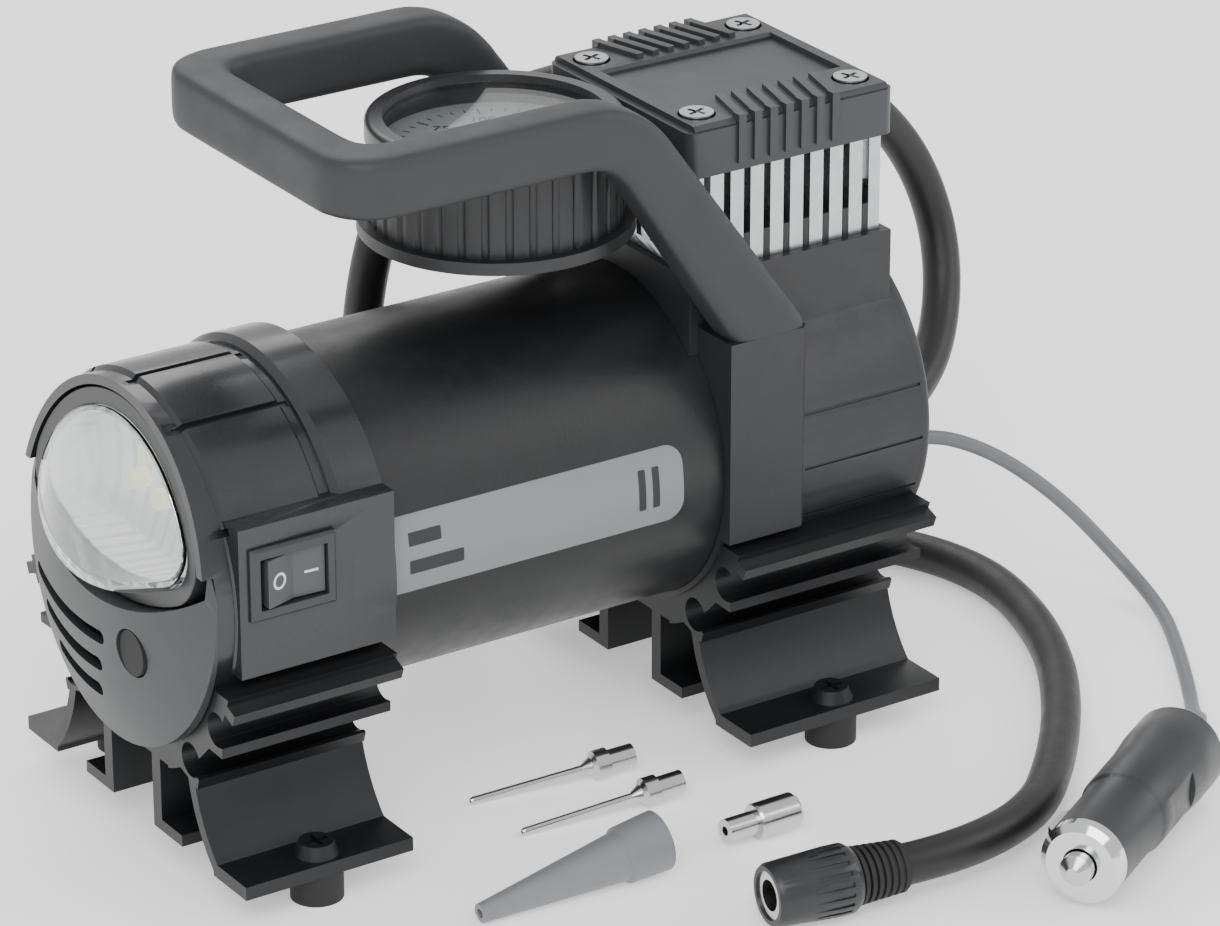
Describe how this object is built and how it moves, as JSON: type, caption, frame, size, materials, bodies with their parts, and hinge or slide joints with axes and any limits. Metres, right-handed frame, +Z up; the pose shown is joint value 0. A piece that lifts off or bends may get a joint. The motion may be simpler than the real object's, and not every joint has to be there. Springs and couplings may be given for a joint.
{
  "type": "tire inflator",
  "caption": "Portable 12 V tire inflator: motor tube with lamp and switch, finned piston compressor, gauge, carry handle, feet, screw-on air hose, plug cord and nozzles.",
  "frame": {"origin": "on the floor, at the centre of the four rubber feet", "axes": "+X from the lamp towards the rear cover and along the motor shaft, -Y towards the switch side, +Z up"},
  "size_m": [0.3023, 0.2353, 0.1812],
  "materials": {
    "barrel_paint": "satin black powder coat on steel tube",
    "front_shell_plastic": "glossy dark charcoal ABS",
    "shield_plastic": "mid-grey satin ABS",
    "bezel_plastic": "matte black ABS",
    "clear_lens": "clear polycarbonate",
    "reflector_chrome": "vacuum-metallised ribbed reflector",
    "led_resin": "clear epoxy diodes",
    "board": "green laminate with solder mask",
    "key_plastic": "dark grey nylon key",
    "casing_plastic": "dark grey textured ABS",
    "cast_alloy": "bright machined cast aluminium",
    "head_plastic": "dark grey heat-resistant nylon",
    "screw_chrome": "bright nickel-plated steel",
    "screw_black": "black oxide steel",
    "seal_rubber": "black moulded rubber",
    "gasket_fibre": "pressed fibre gasket",
    "handle_plastic": "charcoal grey glass-filled nylon",
    "gauge_plastic": "dark grey ABS",
    "dial_face": "light grey printed dial",
    "needle_paint": "red painted aluminium pointer",
    "brass": "machined brass",
    "extrusion_black": "satin black anodised aluminium extrusion",
    "hose_rubber": "black reinforced rubber hose",
    "cord_vinyl": "grey vinyl cord",
    "plug_plastic": "dark grey moulded plug",
    "nickel": "nickel-plated brass",
    "steel": "ground steel",
    "laminated_steel": "laminated electrical steel",
    "copper": "varnished copper",
    "magnet": "sintered ferrite",
    "zinc_plate": "zinc-plated steel sheet",
    "carbon": "pressed carbon",
    "nylon_white": "natural nylon",
    "nozzle_plastic": "mid-grey moulded nozzle"
  },
  "bodies": {
    "housing": {"air_hose": "hose_rubber", "casing_screws": "screw_black", "chuck_stem": "brass", "cord_gland": "seal_rubber", "cylinder_block": "cast_alloy", "cylinder_head": "cast_alloy", "front_cap": "front_shell_plastic", "front_foot_bracket": "extrusion_black", "front_grille": "shield_plastic", "gauge_bezel": "gauge_plastic", "gauge_dial": "dial_face", "gauge_housing": "gauge_plastic", "gauge_lens": "clear_lens", "gauge_movement": "brass", "gear_frame": "zinc_plate", "handle": "handle_plastic", "head_cover": "head_plastic", "head_gasket": "gasket_fibre", "head_screws": "screw_chrome", "hose_outlet_fitting": "brass", "hose_strain_relief": "seal_rubber", "lamp_bezel": "bezel_plastic", "lamp_boards": "board", "lamp_leds": "led_resin", "lamp_lens": "clear_lens", "lamp_reflector": "reflector_chrome", "motor_barrel": "barrel_paint", "motor_brushes": "carbon", "motor_end_frames": "zinc_plate", "motor_magnets": "magnet", "plug_fuse": "steel", "plug_nose_ring": "nickel", "plug_shell": "plug_plastic", "power_cord": "cord_vinyl", "rear_casing": "casing_plastic", "rear_cover": "casing_plastic", "rear_foot_bracket": "extrusion_black", "rubber_feet": "seal_rubber", "shaft_bushes": "brass", "switch_frame": "bezel_plastic", "valve_plate": "steel"},
    "rocker": {"rocker_key": "key_plastic"},
    "lamp_button": {"lamp_button": "seal_rubber"},
    "needle": {"gauge_needle": "needle_paint"},
    "rotor": {"motor_shaft": "steel", "armature": "laminated_steel", "commutator": "copper", "cooling_fan": "nylon_white", "pinion": "steel"},
    "crank": {"crank_shaft": "steel"},
    "piston": {"connecting_rod": "cast_alloy", "piston_cup": "seal_rubber"},
    "chuck": {"chuck_sleeve": "plug_plastic", "chuck_thread_insert": "nickel"},
    "plug_tip": {"plug_tip": "nickel"},
    "ground_contact": {"plug_ground_contact": "nickel"},
    "ball_needle_a": {"ball_needle_a": "nickel"},
    "ball_needle_b": {"ball_needle_b": "nickel"},
    "tapered_nozzle": {"tapered_nozzle": "nozzle_plastic"},
    "valve_adapter": {"valve_adapter": "nickel"}
  },
  "joints": [
    {"name": "power_rocker", "type": "hinge", "parent": "housing", "child": "rocker", "pos_m": [-0.079, -0.0422, 0.0845], "axis": [0, 0, 1], "range_deg": [-14, 0]},
    {"name": "lamp_button_press", "type": "slide", "parent": "housing", "child": "lamp_button", "axis": [1, 0, 0], "range_m": [0, 0.0018], "stiffness_N_per_m": 400},
    {"name": "gauge_needle_turn", "type": "hinge", "parent": "housing", "child": "needle", "pos_m": [0.007, 0, 0.159], "axis": [0, 0, -1], "range_deg": [0, 250], "stiffness_Nm_per_rad": 0.0002},
    {"name": "motor_spin", "type": "hinge", "parent": "housing", "child": "rotor", "pos_m": [0, 0, 0.076], "axis": [1, 0, 0], "continuous": true},
    {"name": "crank_spin", "type": "hinge", "parent": "housing", "child": "crank", "pos_m": [0.05, 0, 0.09625], "axis": [1, 0, 0], "continuous": true},
    {"name": "piston_stroke", "type": "slide", "parent": "housing", "child": "piston", "axis": [0, 0, 1], "range_m": [-0.016, 0]},
    {"name": "chuck_spin", "type": "hinge", "parent": "housing", "child": "chuck", "pos_m": [0.0144, -0.12189, 0.0088], "axis": [0.9903, -0.1392, 0], "continuous": true},
    {"name": "plug_tip_press", "type": "slide", "parent": "housing", "child": "plug_tip", "axis": [0.8581, 0.5135, 0], "range_m": [0, 0.003], "stiffness_N_per_m": 600},
    {"name": "ground_contact_press", "type": "slide", "parent": "housing", "child": "ground_contact", "axis": [0.5135, -0.8581, 0], "range_m": [0, 0.001], "stiffness_N_per_m": 800},
    {"name": "ball_needle_a_lift", "type": "slide", "parent": "housing", "child": "ball_needle_a", "axis": [0, 0, 1], "range_m": [0, 0.03]},
    {"name": "ball_needle_b_lift", "type": "slide", "parent": "housing", "child": "ball_needle_b", "axis": [0, 0, 1], "range_m": [0, 0.1]},
    {"name": "tapered_nozzle_lift", "type": "slide", "parent": "housing", "child": "tapered_nozzle", "axis": [0, 0, 1], "range_m": [0, 0.1]},
    {"name": "valve_adapter_lift", "type": "slide", "parent": "housing", "child": "valve_adapter", "axis": [0, 0, 1], "range_m": [0, 0.1]}
  ],
  "couplings": [
    {"joint": "crank_spin", "follows": "motor_spin", "ratio": -0.28571}
  ]
}
